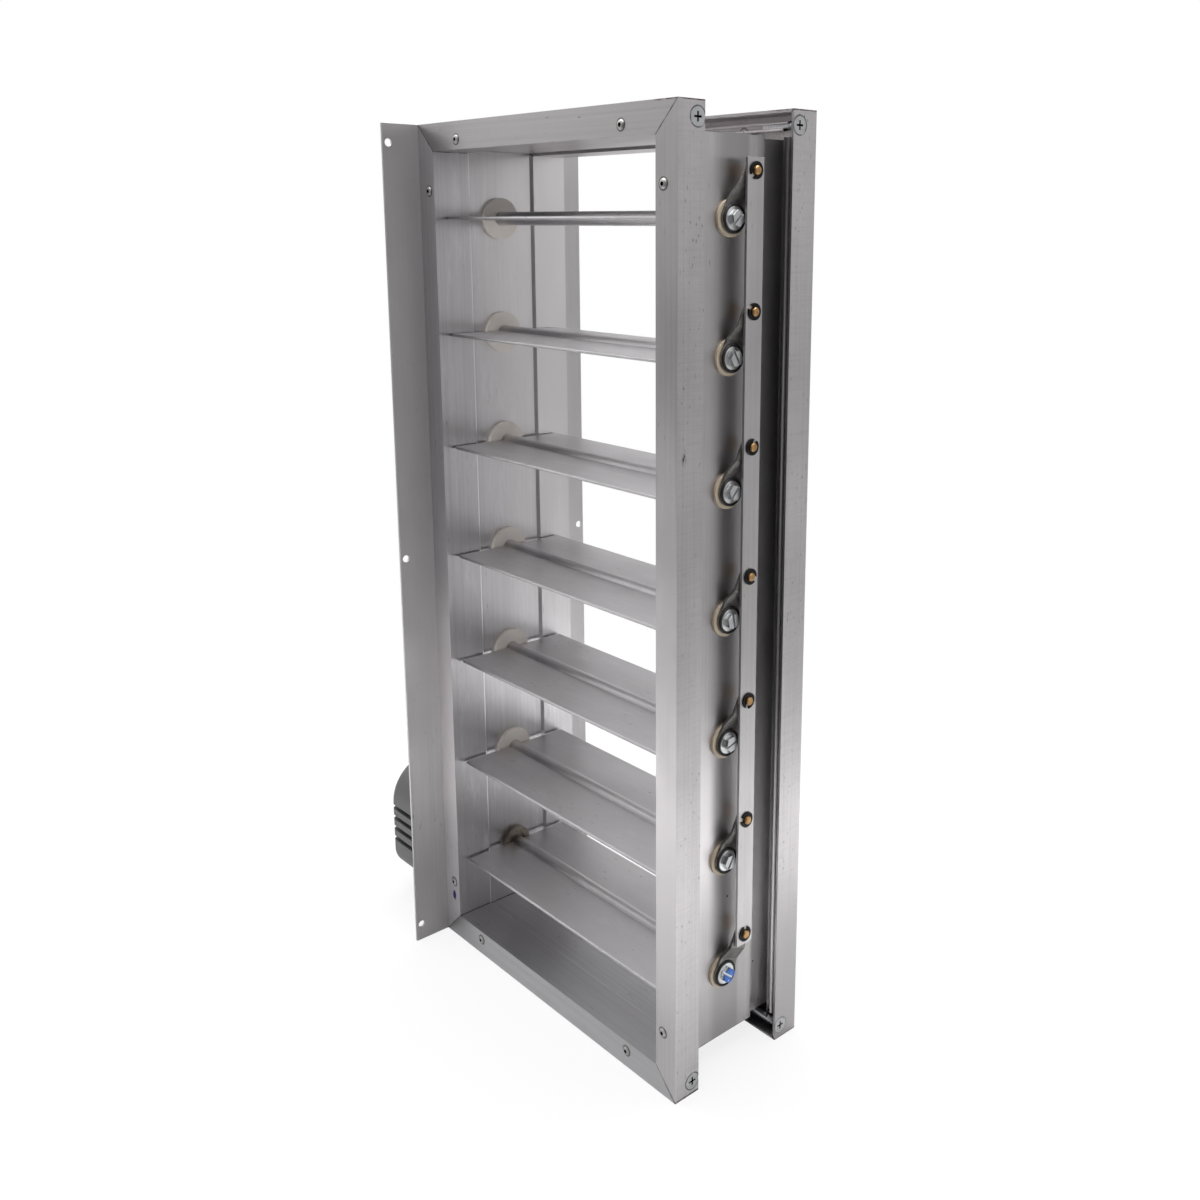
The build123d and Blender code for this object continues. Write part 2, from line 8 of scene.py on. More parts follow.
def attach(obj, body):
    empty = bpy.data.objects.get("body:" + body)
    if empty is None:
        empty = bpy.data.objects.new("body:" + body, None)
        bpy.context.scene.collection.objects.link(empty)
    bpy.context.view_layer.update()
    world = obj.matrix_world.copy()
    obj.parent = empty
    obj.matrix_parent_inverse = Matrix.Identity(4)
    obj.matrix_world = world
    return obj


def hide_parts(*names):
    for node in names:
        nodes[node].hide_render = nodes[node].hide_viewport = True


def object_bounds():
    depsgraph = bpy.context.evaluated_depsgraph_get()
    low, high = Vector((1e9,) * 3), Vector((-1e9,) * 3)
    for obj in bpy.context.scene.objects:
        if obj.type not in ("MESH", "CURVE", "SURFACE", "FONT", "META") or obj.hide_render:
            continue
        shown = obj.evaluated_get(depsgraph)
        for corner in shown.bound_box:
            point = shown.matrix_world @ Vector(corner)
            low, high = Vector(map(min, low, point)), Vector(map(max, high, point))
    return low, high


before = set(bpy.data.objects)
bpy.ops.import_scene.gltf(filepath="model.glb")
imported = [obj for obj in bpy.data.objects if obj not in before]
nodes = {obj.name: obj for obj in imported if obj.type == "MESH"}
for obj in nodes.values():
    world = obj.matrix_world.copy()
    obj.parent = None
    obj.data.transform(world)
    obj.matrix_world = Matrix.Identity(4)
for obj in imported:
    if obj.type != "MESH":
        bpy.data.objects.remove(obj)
cad_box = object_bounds()

MM = 0.001

# Places in the part that the looks and added pieces refer to
FRAME_WIDTH = 240 * MM
FRAME_MIDDLE = FRAME_WIDTH / 2
FRAME_TOP = 275 * MM
SCREW_Y = 36.9 * MM
SCREW_Z = 266.75 * MM
SCREW_RING_RADIUS = 5.1 * MM
RIVETS = ((77.0 * MM, 264.4 * MM), (109.4 * MM, 234.7 * MM))
RIVET_RING_RADIUS = 3.1 * MM
BLADES = range(1, 8)
MIDDLE_BLADE = 4
AXIS_Y = -1.8 * MM
BLADE_PITCH = 72.8 * MM
CRANK_FACE = 230.4 * MM

# Crank screws, in metres, and how each one's slot lies, in degrees, from the bottom blade up
WASHER_FACE = CRANK_FACE + 0.9 * MM
HEX_FLATS = 8.0 * MM
HEX_HEIGHT = 3.0 * MM
HEX_TOP = WASHER_FACE + HEX_HEIGHT
HEX_EDGE = 0.18 * MM
PAINT_START = HEX_TOP - 1.0 * MM
PAINT_FULL = HEX_TOP - 0.6 * MM
SLOT_WIDTH = 1.2 * MM
SLOT_DEPTH = 1.3 * MM
SLOT_TURNS = (140, 60, 15, 100, 50, 120, 40)

# Profiles of turned pieces in millimetres: distance along the axis from the place, and radius
SCREW_PROFILE = [(-18.0, 0.0), (-18.0, 2.45), (0.0, 2.45), (0.0, 6.6), (0.5, 6.6), (0.9, 6.1), (0.9, 0.0)]
RING_PROFILE = [(0.0, 6.75), (0.0, 7.9), (0.6, 7.9), (1.1, 7.5), (1.1, 6.75)]
CREST_PROFILE = [(-0.42, 1.55), (0.0, 2.0), (0.42, 1.55)]

# Threads of the frame screws: crests from the first depth on, whole in the open and an arc in the boss's slot
CRESTS = 20
CREST_PITCH = 1.15 * MM
CREST_START = 3.5 * MM
BOSS_DEPTH = 8.0 * MM
BOSS_ARC = 0.62  # to either side, in radians

# Rounded edges, and how near points and flat faces are joined first
FRAME_EDGE = 0.25 * MM
BLADE_EDGE = 0.12 * MM
EDGE_SEGMENTS = 2
EDGE_ANGLE = math.radians(20)
FLAT_ANGLE = math.radians(0.5)
SOLID_WELD = 0.002 * MM
PIECE_WELD = 0.0005 * MM

# Sides of a full turn, of a thread crest and of a crest's arc
TURN_SIDES = 48
CREST_SIDES = 24
ARC_SIDES = 10

# Share of a face's direction along an axis, from which it counts as facing that way
FACING = (0.5, 0.8)

# Tones of the bare metal, of what has got on it, and of painted light and shade
TONE = (0.682, 0.656, 0.665)
LEFT_TONE = (0.668, 0.654, 0.670)
BOTTOM_TONE = (0.656, 0.652, 0.670)
PLATE_TONE = (0.74, 0.725, 0.727)
BAR_TONE = (0.69, 0.67, 0.678)
BLADE_TONE = (0.655, 0.642, 0.654)
PICK_UP = (0.12, 0.11, 0.10)
# Painted shade in corners, standing also for soiling
CORNER_SHADE_AND_SOIL = (0.10, 0.095, 0.09)
SEAM = (0.06, 0.055, 0.05)
PIT = (0.13, 0.125, 0.12)
CUT = (0.07, 0.065, 0.06)
# Painted shade in the gap round the frame screw heads
SCREW_GAP_SHADE = (0.05, 0.05, 0.05)
RIVET_RING = (0.06, 0.05, 0.045)
BROWN_STAIN = (0.10, 0.055, 0.045)
# Pale bluish smears, partly painted reflection
SMEAR_AND_REFLECTION = (0.93, 0.935, 0.97)
SCRATCH = (0.14, 0.14, 0.15)
VIOLET_INK = (0.05, 0.035, 0.22)
SCUFF = (0.09, 0.085, 0.08)
# Painted light on the recess slope
LIT_SLOPE = (0.97, 0.96, 0.96)
# Painted light on the right jamb's rear web
LIT_WEB = (0.97, 0.955, 0.96)
# Painted light over most of the plate, painted shade at its foot
LIT_PLATE = (0.84, 0.82, 0.824)
SHADED_PLATE = (0.42, 0.41, 0.41)
WIPED_BLADE = (0.80, 0.79, 0.80)
SHADED_WALL = (0.16, 0.155, 0.158)
# Painted highlight on the crank screw washers
WASHER_HIGHLIGHT = (0.95, 0.955, 0.96)
SPECK = (0.05, 0.045, 0.04)
# Painted shade in recesses of the hardware
RECESS_SHADE = (0.03, 0.03, 0.03)
BLUE_PAINT = (0.035, 0.14, 0.52)

# Single marks: places in millimetres, and black specks on the right web with their radius
INK_PLACE = (10.0, -50.0, -245.2)
SCUFF_PLACE = (240.0, -45.3, 98.5)
SPECKS = (((225.5, 2.8, -172.0), 1.0), ((225.0, 27.2, -226.2), 0.7), ((225.0, 3.6, -178.0), 0.5))

# Camera at the photograph's viewing angle, in metres and degrees
CAMERA_PLACE = Vector((0.6854, -0.4553, 0.2146))
CAMERA_AZIMUTH = 47.1143
CAMERA_ELEVATION = 11.4476
CAMERA_ROLL = 0.2787
CAMERA_LENS_MM = 36.288
CAMERA_SHIFT = (-0.07433, -0.10796)
CAMERA_NEAR = 0.01
CAMERA_TURN = math.radians(CAMERA_AZIMUTH)
TOWARD_CAMERA = Vector((math.sin(CAMERA_TURN), -math.cos(CAMERA_TURN), 0))

# Studio: a pale floor under an overhead softbox, in a grey room that is dark behind the camera
FLOOR_SIZE = 14.0
FLOOR_GAP = 0.2 * MM
FLOOR_TONE = 0.9
FLOOR_WHITENESS = 0.82
FLOOR_WHITE_FROM = 0.9
FLOOR_FRONT = (0.22, 0.70)
FLOOR_FRONT_TONE = 0.10
FLOOR_FOOT = (120.0, 0.0, 0.0)
# Painted shadow on the floor near the object and to its right, and a painted glow far off, as reflections see
# it
FLOOR_NEAR = (0.10, 0.42)
FLOOR_NEAR_SHADE = 0.72
FLOOR_RIGHT = (0.35, 0.55)
FLOOR_BESIDE = (0.36, 0.60)
FLOOR_BESIDE_SHADE = 0.62
FLOOR_FAR = (0.9, 1.7)
FLOOR_GLOW = 0.24
ROOM_GREY = 0.59
ROOM_REAR = (-0.45, -0.80)
ROOM_LOW = (0.35, 0.10)
ROOM_DARK = 0.08
ROOM_DARK_SIDE = (0.45, 0.85)
AMBIENT = 0.50

# Softboxes: name, place, aim, width, height, watts
SOFTBOXES = [
    ("overhead", (0.10, 0.00, 0.95), (0.10, 0.0, 0.0), 1.0, 1.0, 18),
    ("left", (-1.9, -0.9, 1.3), (0.1, 0.0, 0.0), 1.2, 1.2, 8),
    ("rear", (-0.4, 2.2, 1.3), (0.1, 0.0, 0.0), 1.2, 1.2, 10),
]


def make_camera():
    """Camera fitted to the corners of the frame in the photograph, which isn't centred in its lens."""
    elevation = math.radians(CAMERA_ELEVATION)
    roll = math.radians(CAMERA_ROLL)
    back = TOWARD_CAMERA * math.cos(elevation) + Vector((0, 0, math.sin(elevation)))
    level = Vector((math.cos(CAMERA_TURN), math.sin(CAMERA_TURN), 0))
    up = back.cross(level)
    right = math.cos(roll) * level + math.sin(roll) * up
    top = math.cos(roll) * up - math.sin(roll) * level
    data = bpy.data.cameras.new("camera")
    data.lens = CAMERA_LENS_MM
    data.shift_x, data.shift_y = CAMERA_SHIFT
    data.clip_start = CAMERA_NEAR
    camera = bpy.data.objects.new("camera", data)
    camera.matrix_world = Matrix.Translation(CAMERA_PLACE) @ Matrix((right, top, back)).transposed().to_4x4()
    bpy.context.scene.collection.objects.link(camera)
    bpy.context.scene.camera = camera


def shade(tone, share):
    """A tone made lighter or darker."""
    return tuple(c * share for c in tone)


def grey(level):
    return (level, level, level)


class Nodes:
    """A node tree whose nodes are added one after another."""

    def __init__(self, tree):
        self.tree = tree

    def add(self, kind, **settings):
        node = self.tree.nodes.new(kind)
        for key, value in settings.items():
            setattr(node, key, value)
        return node

    def feed(self, socket, value):
        """Link a socket to another one's output, or set it to a plain value."""
        if isinstance(value, bpy.types.NodeSocket):
            self.tree.links.new(value, socket)
        else:
            socket.default_value = value

    def math(self, operation, a, b=0.0):
        node = self.add("ShaderNodeMath", operation=operation)
        self.feed(node.inputs[0], a)
        self.feed(node.inputs[1], b)
        return node.outputs[0]

    def both(self, *masks):
        """Product of masks, or of masks and plain shares."""
        product = masks[0]
        for mask in masks[1:]:
            product = self.math("MULTIPLY", product, mask)
        return product

    def within(self, mask, low, high):
        """A mask brought from 0 to 1 into a narrower range."""
        return self.math("ADD", self.math("MULTIPLY", mask, high - low), low)

    def mix(self, share, a, b, blend="MIX"):
        node = self.add("ShaderNodeMix", data_type="RGBA", blend_type=blend)
        self.feed(node.inputs["Factor"], share)
        self.feed(node.inputs["A"], a if isinstance(a, bpy.types.NodeSocket) else (*a, 1.0))
        self.feed(node.inputs["B"], b if isinstance(b, bpy.types.NodeSocket) else (*b, 1.0))
        return node.outputs["Result"]

    def split(self, vector):
        """The three components of a vector."""
        node = self.add("ShaderNodeSeparateXYZ")
        self.feed(node.inputs[0], vector)
        return list(node.outputs)

    def along(self, vector, direction):
        """How far a vector goes in a fixed direction."""
        node = self.add("ShaderNodeVectorMath", operation="DOT_PRODUCT")
        self.feed(node.inputs[0], vector)
        node.inputs[1].default_value = direction
        return node.outputs["Value"]

    def step(self, value, low, high):
        """Smooth step from 0 at low to 1 at high."""
        node = self.add("ShaderNodeMapRange", interpolation_type="SMOOTHSTEP")
        self.feed(node.inputs["Value"], value)
        node.inputs["From Min"].default_value = low
        node.inputs["From Max"].default_value = high
        return node.outputs["Result"]


class Look(Nodes):
    """A material, with textures and masks that follow the object's own coordinates."""

    def __init__(self, name):
        self.material = bpy.data.materials.new(name)
        self.material.use_nodes = True
        super().__init__(self.material.node_tree)
        self.shader = self.tree.nodes["Principled BSDF"]
        self.output = self.tree.nodes["Material Output"]
        self.place = self.add("ShaderNodeTexCoord").outputs["Object"]

    def scaled(self, scale):
        """Object coordinates stretched by a scale for each axis."""
        node = self.add("ShaderNodeMapping")
        self.feed(node.inputs["Vector"], self.place)
        node.inputs["Scale"].default_value = scale
        return node.outputs[0]

    def noise(self, scale, detail=3.0, roughness=0.55, seed=0.0):
        node = self.add("ShaderNodeTexNoise", noise_dimensions="4D")
        self.feed(node.inputs["Vector"], self.scaled(scale))
        node.inputs["W"].default_value = seed
        node.inputs["Scale"].default_value = 1.0
        node.inputs["Detail"].default_value = detail
        node.inputs["Roughness"].default_value = roughness
        return node.outputs["Fac"]

    def patches(self, scale, seed, start, end, detail=3, roughness=0.6):
        """Noise made into patches, by two stops of (noise, level)."""
        return self.ramp(self.noise(scale, detail, roughness, seed), [start, end])

    def specks(self, scale, size):
        """Scattered spots, 1 at their middle and 0 between them."""
        node = self.add("ShaderNodeTexVoronoi")
        self.feed(node.inputs["Vector"], self.scaled(scale))
        node.inputs["Scale"].default_value = 1.0
        return self.ramp(node.outputs["Distance"], [(0.0, 1.0), (size, 0.0)])

    def ramp(self, value, stops):
        """Grey ramp of (position, level) stops."""
        return self.colours(value, [(position, grey(level)) for position, level in stops])

    def colours(self, value, stops):
        """Colour ramp of (position, colour) stops."""
        node = self.add("ShaderNodeValToRGB")
        self.feed(node.inputs["Fac"], value)
        band = node.color_ramp
        while len(band.elements) < len(stops):
            band.elements.new(1.0)
        for element, (position, colour) in zip(band.elements, stops):
            element.position = position
            element.color = (*colour, 1.0)
        return node.outputs["Color"]

    def crevice(self, distance, alone=False):
        """1 in the open, falling to 0 in corners and recesses, of the piece alone if asked."""
        node = self.add("ShaderNodeAmbientOcclusion", samples=8, only_local=alone)
        node.inputs["Distance"].default_value = distance
        return node.outputs["AO"]

    def bump(self, height, distance, strength=1.0, normal=None):
        node = self.add("ShaderNodeBump")
        node.inputs["Strength"].default_value = strength
        node.inputs["Distance"].default_value = distance
        self.feed(node.inputs["Height"], height)
        if normal is not None:
            self.feed(node.inputs["Normal"], normal)
        return node.outputs["Normal"]

    def edge(self, value, low, high):
        """Smooth step from 0 to 1 between two places in millimetres."""
        return self.step(value, low * MM, high * MM)

    def span(self, value, start, full, fade, end):
        """1 from full to fade, and 0 before start and after end, in millimetres."""
        return self.both(self.edge(value, start, full), self.edge(value, end, fade))

    def spot(self, place, scale):
        """Distance from a place in millimetres, with each axis scaled, in metres."""
        shift = self.add("ShaderNodeVectorMath", operation="SUBTRACT")
        self.feed(shift.inputs[0], self.place)
        shift.inputs[1].default_value = shade(place, MM)
        size = self.add("ShaderNodeVectorMath", operation="MULTIPLY")
        self.feed(size.inputs[0], shift.outputs["Vector"])
        size.inputs[1].default_value = scale
        far = self.add("ShaderNodeVectorMath", operation="LENGTH")
        self.feed(far.inputs[0], size.outputs["Vector"])
        return far.outputs["Value"]

    def off(self, value, middle):
        """How far a value is from a middle, on either side."""
        return self.math("ABSOLUTE", self.math("SUBTRACT", value, middle))

    def length(self, a, b):
        """Length over two sides at a right angle."""
        return self.math("SQRT", self.math("ADD", self.math("MULTIPLY", a, a), self.math("MULTIPLY", b, b)))

    def from_rivet(self):
        """Distance from the axis of the nearest flange rivet."""
        x, _, z = self.split(self.place)
        away = self.off(x, FRAME_MIDDLE)
        rise = self.math("ABSOLUTE", z)
        reach = []
        for across, up in RIVETS:
            reach.append(self.length(self.math("SUBTRACT", away, across), self.math("SUBTRACT", rise, up)))
        return self.math("MINIMUM", *reach)

    def normals(self):
        """The three components of the face's direction."""
        return self.split(self.add("ShaderNodeNewGeometry").outputs["True Normal"])

    def grain(self, axis):
        """Tangent across a grain that runs along one axis, so that reflections spread across it."""
        node = self.add("ShaderNodeVectorMath", operation="CROSS_PRODUCT")
        self.feed(node.inputs[0], self.add("ShaderNodeNewGeometry").outputs["True Normal"])
        node.inputs[1].default_value = axis_scale(axis, 1.0, 0.0)
        return node.outputs["Vector"]

    def finish(self, **inputs):
        """Feed the shader's sockets, named with underscores, and give the material."""
        for key, value in inputs.items():
            name = key.replace("_", " ").title()
            self.feed(self.shader.inputs[name], value)
        return self.material


def axis_scale(axis, along, across):
    """Scale with one value along an axis and another across it."""
    return tuple(along if a == axis else across for a in "xyz")


def front_faces(look, facing):
    """1 on faces that look to the front, which is toward -Y."""
    return look.step(facing[1], *shade(FACING, -1))


def mill_aluminium(
    name, axis, tone=TONE, rough=0.34, seed=0.0, front=1.0, front_rough=0.0, lines=0.06, member=None
):
    """Extruded aluminium: die lines along its length, smudges, short dark pick-up marks, painted shade and
    soiling in corners.
    Front faces may be darkened with painted shade or rougher, and a member function adds the marks of one
    piece."""
    look = Look(name)
    drawn = look.noise(axis_scale(axis, 4, 700), 4, 0.6, seed)
    fine = look.noise(axis_scale(axis, 20, 2600), 2, 0.6, seed + 3)
    smudge = look.noise(axis_scale(axis, 14, 40), 5, 0.62, seed + 7)
    marks = look.specks(axis_scale(axis, 70, 280), 0.16)
    rare = look.patches((24, 24, 24), seed + 11, (0.50, 0.0), (0.62, 1.0), 2, 0.5)
    dark, light = shade(tone, 1 - 2 * lines), shade(tone, 1 + lines)
    colour = look.colours(drawn, [(0.28, dark), (0.5, tone), (0.74, light)])
    colour = look.mix(look.ramp(smudge, [(0.42, 0.0), (0.80, 0.30)]), colour, shade(tone, 0.70))
    colour = look.mix(look.both(marks, rare, 0.65), colour, PICK_UP)
    facing = look.normals()
    ahead = front_faces(look, facing)
    # Painted shade: front faces darkened by the front share
    colour = look.mix(ahead, colour, look.mix(1.0, colour, grey(front), "MULTIPLY"))
    if member:
        colour = member(look, colour, facing)
    # Painted shade and soiling in corners and recesses, from occlusion within the piece
    colour = look.mix(look.ramp(look.crevice(2.2 * MM, True), [(0.15, 0.7), (0.7, 0.0)]), colour, CORNER_SHADE_AND_SOIL)
    roughness = look.math("ADD", look.math("MULTIPLY", smudge, 0.22), rough - 0.11)
    roughness = look.math("ADD", roughness, look.math("MULTIPLY", ahead, front_rough))
    normal = look.bump(drawn, 0.5 * lines * MM, 0.5)
    normal = look.bump(fine, 0.25 * lines * MM, 0.5, normal)
    return look.finish(
        base_color=colour,
        metallic=1.0,
        roughness=roughness,
        normal=normal,
        anisotropic=0.75,
        tangent=look.grain(axis),
    )


def frame_marks(look, colour, facing):
    """Marks on every frame member: dark mitre seams, rubbed and pitted side lips, painted shade in rings
    round the screw heads, dark rings round the rivets, and a brown stain on the right jamb's sawn top."""
    x, y, z = look.split(look.place)
    away = look.off(x, FRAME_MIDDLE)
    rise = look.math("ABSOLUTE", z)

    from_mitre = look.off(look.math("SUBTRACT", rise, away), FRAME_TOP - FRAME_MIDDLE)
    open_corner = look.both(look.edge(z, -262, -273), look.edge(x, 200, 220))
    wide_seam = look.both(open_corner, look.edge(from_mitre, 1.5, 0.9))
    seam = look.math("MAXIMUM", look.edge(from_mitre, 0.7, 0.2), wide_seam)
    broken = look.patches((160, 160, 160), 21, (0.35, 0.45), (0.6, 0.95))
    colour = look.mix(look.both(seam, broken), colour, SEAM)

    side = look.step(look.math("ABSOLUTE", facing[0]), *FACING)
    lip = look.both(side, look.step(away, FRAME_MIDDLE - 1.5 * MM, FRAME_MIDDLE - 0.5 * MM))
    rubbed = look.patches((1, 45, 900), 61, (0.46, 0.0), (0.80, 0.34), 4, 0.65)
    colour = look.mix(look.both(lip, rubbed), colour, shade(TONE, 0.62))
    pitted = look.patches((60, 60, 30), 63, (0.47, 0.0), (0.62, 0.8))
    colour = look.mix(look.both(lip, look.specks((200, 380, 200), 0.24), pitted), colour, PIT)
    cut = look.patches((45, 45, 45), 67, (0.52, 0.0), (0.60, 0.9), 2, 0.5)
    colour = look.mix(look.both(lip, look.specks((200, 300, 60), 0.10), cut), colour, CUT)

    across = look.math("SUBTRACT", look.math("ABSOLUTE", y), SCREW_Y)
    up = look.math("SUBTRACT", rise, SCREW_Z)
    # Painted shade: a dark ring in the gap round each frame screw head
    ring = look.edge(look.off(look.length(across, up), SCREW_RING_RADIUS), 0.5, 0.25)
    colour = look.mix(look.both(ring, side, 0.7), colour, SCREW_GAP_SHADE)
    collar = look.edge(look.off(look.from_rivet(), RIVET_RING_RADIUS), 0.6, 0.2)
    flange = look.step(look.math("ABSOLUTE", facing[1]), *FACING)
    colour = look.mix(look.both(collar, flange, 0.75), colour, RIVET_RING)

    sawn = look.both(look.step(z, FRAME_TOP - 1.0 * MM, FRAME_TOP - 0.4 * MM), look.edge(x, 221, 224))
    blotch = look.patches((320, 320, 320), 31, (0.38, 0.0), (0.55, 0.85))
    return look.mix(look.both(sawn, blotch), colour, BROWN_STAIN)


def left_marks(look, colour, facing):
    """The left jamb's own marks: painted light on the inner wall toward the rear and the top, painted shade
    at its foot, smears that partly stand for painted reflections, scratches, painted light on a stretch of
    the front flange and on the recess slope, and a dab of violet ink."""
    colour = frame_marks(look, colour, facing)
    y, z = look.split(look.place)[1:]
    inside = look.step(facing[0], 0.9, 0.97)
    # Painted light: the inner wall made lighter toward the rear and the top
    high = look.within(look.edge(z, -230, 200), 0.05, 1.0)
    colour = look.mix(look.both(inside, look.edge(y, -40, 45), high), colour, shade(TONE, 1.42))
    # Painted shade: the inner wall darker at the foot
    colour = look.mix(look.both(inside, look.edge(z, -60, -250), 0.35), colour, shade(TONE, 0.45))
    # Pale bluish smears on the inner wall, partly painted reflection
    smear = look.patches((1, 130, 22), 71, (0.52, 0.0), (0.72, 0.4), 5, 0.7)
    colour = look.mix(look.both(inside, smear), colour, SMEAR_AND_REFLECTION)
    rare = look.patches((40, 40, 12), 73, (0.48, 0.0), (0.6, 0.75), 2, 0.5)
    scratch = look.both(look.specks((90, 330, 22), 0.13), rare, look.edge(y, 10, 30))
    colour = look.mix(look.both(inside, scratch), colour, SCRATCH)
    # Painted light: a paler stretch of the front flange
    pale = look.both(front_faces(look, facing), look.span(z, -215, -160, -60, 0))
    colour = look.mix(pale, colour, shade(TONE, 1.10))
    # Painted light: the recess slope, which faces inward and to the rear, made brighter
    slope = look.both(look.step(facing[0], 0.5, 0.6), look.step(facing[1], 0.5, 0.6))
    colour = look.mix(slope, colour, LIT_SLOPE)
    ragged = look.math("MULTIPLY", look.noise((900, 900, 900), 3, 0.6, 41), 2.2 * MM)
    ink = look.math("SUBTRACT", look.spot(INK_PLACE, (1.0, 1.0, 0.55)), ragged)
    return look.mix(look.edge(ink, 1.1, 0.5), colour, VIOLET_INK)


def plate_marks(look, colour, facing):
    """The plate is lightened by painted light for most of its height and darkened by painted shade at its
    foot.
    """
    z = look.split(look.place)[2]
    # Painted light over most of the plate's height, then painted shade at its foot
    colour = look.mix(look.both(look.edge(z, -190, -80), 0.75), colour, LIT_PLATE)
    return look.mix(look.both(look.edge(z, -160, -230), 0.6), colour, SHADED_PLATE)


def blade_marks(look, colour, facing):
    """Pale wiped smears on the blades."""
    smear = look.patches((26, 70, 26), 81, (0.54, 0.0), (0.74, 0.45), 5, 0.7)
    return look.mix(smear, colour, WIPED_BLADE)


def right_marks(look, colour, facing):
    """The right jamb's own marks: painted light and shade as lighter and darker stretches of the front
    flange, of the web beside and behind the bar and of the rear flange and lip, a dark scuff on the front lip
    and black specks."""
    colour = frame_marks(look, colour, facing)
    x, y, z = look.split(look.place)
    flange = front_faces(look, facing)
    # Painted light and shade: a lighter and a darker stretch of the front flange
    colour = look.mix(look.both(flange, look.span(z, -240, -190, -110, -50)), colour, shade(TONE, 1.04))
    colour = look.mix(look.both(flange, look.span(z, -70, -20, 40, 80)), colour, shade(TONE, 0.74))

    outward = look.step(facing[0], *FACING)
    # Painted light: the rear web lighter, more so low down
    rear_web = look.both(outward, look.edge(y, 14, 24), look.edge(x, 236, 232))
    low = look.within(look.edge(z, 150, -120), 0.6, 1.0)
    colour = look.mix(look.both(rear_web, low), colour, LIT_WEB)
    web = look.both(outward, look.edge(x, 234, 231))
    # Painted shade: the web darker beside and behind the bar
    colour = look.mix(look.both(web, look.span(y, -16, -3, 10, 15)), colour, shade(TONE, 0.70))
    # Painted light: a lighter stretch of the web in front of the bar
    front_web = look.both(web, look.edge(y, -6, -14), look.span(z, -200, -140, -100, -40))
    colour = look.mix(front_web, colour, shade(TONE, 1.28))

    # Painted shade: the rear lip darker low down
    rear_lip = look.both(outward, look.edge(y, 30, 32), look.edge(x, 238, 239))
    colour = look.mix(look.both(rear_lip, look.edge(z, -150, -220), 0.8), colour, shade(TONE, 0.68))
    rear_wall = look.both(look.edge(y, 31, 33), look.edge(x, 224, 226), look.step(facing[0], 0.7, 0.4))
    colour = look.mix(look.both(rear_wall, look.edge(z, -190, 0), 0.85), colour, SHADED_WALL)

    rough = look.patches((500, 900, 260), 51, (0.45, 0.0), (0.6, 1.0), 3, 0.7)
    scuff = look.edge(look.spot(SCUFF_PLACE, (1.0, 1.0, 0.3)), 2.0, 0.8)
    colour = look.mix(look.both(scuff, rough), colour, SCUFF)
    for place, size in SPECKS:
        speck = look.edge(look.spot(place, (0.3, 1.0, 1.0)), size, 0.6 * size)
        colour = look.mix(speck, colour, SPECK)
    return colour


def moulded(name, tone, spot, rough=0.5, grain=1600, sub=0.0):
    """Moulded plastic or rubber: fine grain, slight mottling, painted shade in corners."""
    look = Look(name)
    mottle = look.noise((90, 90, 90), 4, 0.6)
    colour = look.mix(look.ramp(mottle, [(0.4, 0.0), (0.8, 0.6)]), tone, spot)
    # Painted shade in corners
    corners = look.ramp(look.crevice(2 * MM), [(0.2, 0.6), (0.8, 0.0)])
    colour = look.mix(corners, colour, shade(tone, 0.35))
    normal = look.bump(look.noise((grain,) * 3, 2, 0.5), 0.03 * MM, 0.4)
    roughness = look.math("ADD", look.math("MULTIPLY", mottle, 0.2), rough - 0.1)
    return look.finish(
        base_color=colour,
        roughness=roughness,
        normal=normal,
        subsurface_weight=sub,
        subsurface_radius=(2 * MM, 1.6 * MM, 1.2 * MM),
        subsurface_scale=1.0,
    )


def plated(name, tone, dark, rough=0.25, grain=700, recess_shade=0.8, reach=1.5, blacken=None, rim=False):
    """Plated or bare metal hardware: cloudy plating, small pits, painted shade in recesses. A function given
    to darken makes some of a piece near-black: painted shade in screw recesses and dark mandrel ends in
    rivets. The rim option gives the crank screws a washer in painted highlight below a hex in painted shade."""
    look = Look(name)
    cloud = look.noise((grain,) * 3, 4, 0.6)
    colour = look.colours(cloud, [(0.30, dark), (0.62, tone)])
    # Painted shade in recesses
    colour = look.mix(look.ramp(look.crevice(reach * MM), [(0.2, recess_shade), (0.75, 0.0)]), colour, RECESS_SHADE)
    if rim:
        # Painted highlight on the washer, painted shade on the hex above it
        head = look.step(look.split(look.place)[0], WASHER_FACE + 0.05 * MM, WASHER_FACE + 0.25 * MM)
        colour = look.mix(head, WASHER_HIGHLIGHT, look.mix(1.0, colour, grey(0.72), "MULTIPLY"))
    # Near-black where a given mask says: painted shade in screw recesses, dark mandrel ends in rivets
    if blacken:
        colour = look.mix(blacken(look), colour, grey(0.012))
    roughness = look.math("ADD", look.math("MULTIPLY", cloud, 0.3), rough - 0.1)
    normal = look.bump(cloud, 0.03 * MM, 0.5)
    return look.finish(base_color=colour, metallic=1.0, roughness=roughness, normal=normal)


def screw_recess_shade(look):
    """Painted shade in the cross recess, just under the flush top of a frame screw's head."""
    x = look.split(look.place)[0]
    depth = look.math("SUBTRACT", FRAME_MIDDLE, look.off(x, FRAME_MIDDLE))
    return look.span(depth, 0.08, 0.3, 3.0, 3.4)


def rivet_hole_and_rim(look):
    """Dark mandrel end with painted shade in the hole in the middle of a rivet, and a dark rim."""
    reach = look.from_rivet()
    return look.math("MAXIMUM", look.edge(reach, 1.35, 1.0), look.both(look.edge(reach, 2.4, 2.9), 0.7))


